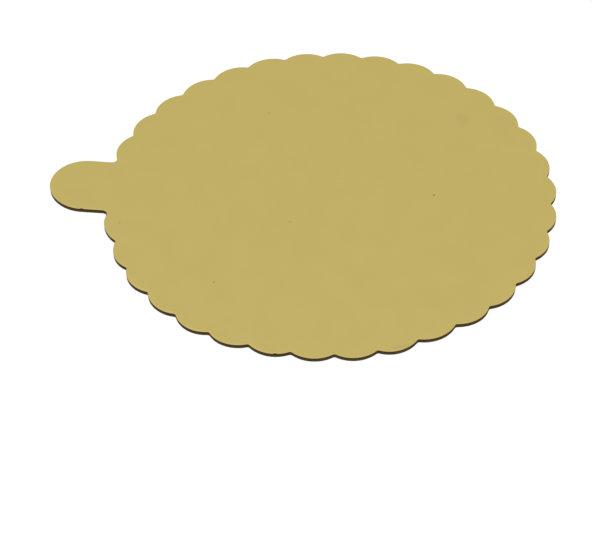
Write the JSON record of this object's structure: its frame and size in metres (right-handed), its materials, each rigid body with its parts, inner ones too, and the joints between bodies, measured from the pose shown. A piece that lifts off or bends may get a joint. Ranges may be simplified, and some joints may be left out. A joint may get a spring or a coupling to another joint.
{
  "type": "cake board",
  "caption": "Small round scalloped card board that carries a single-portion cake, gold filmed on top, with a round-ended pull tab.",
  "frame": {"origin": "centre of the scalloped round, on the underside", "axes": "+Z out of the gold top face, -X along the pull tab towards its tip, +Y completes a right-handed frame"},
  "size_m": [0.1115, 0.1, 0.001],
  "materials": {
    "gold_filmed_card": "smooth bright gold metallised film on the top face, bare brown-grey board at the cut edge and underneath"
  },
  "bodies": {
    "root": {"cake_board": "gold_filmed_card"}
  },
  "joints": []
}
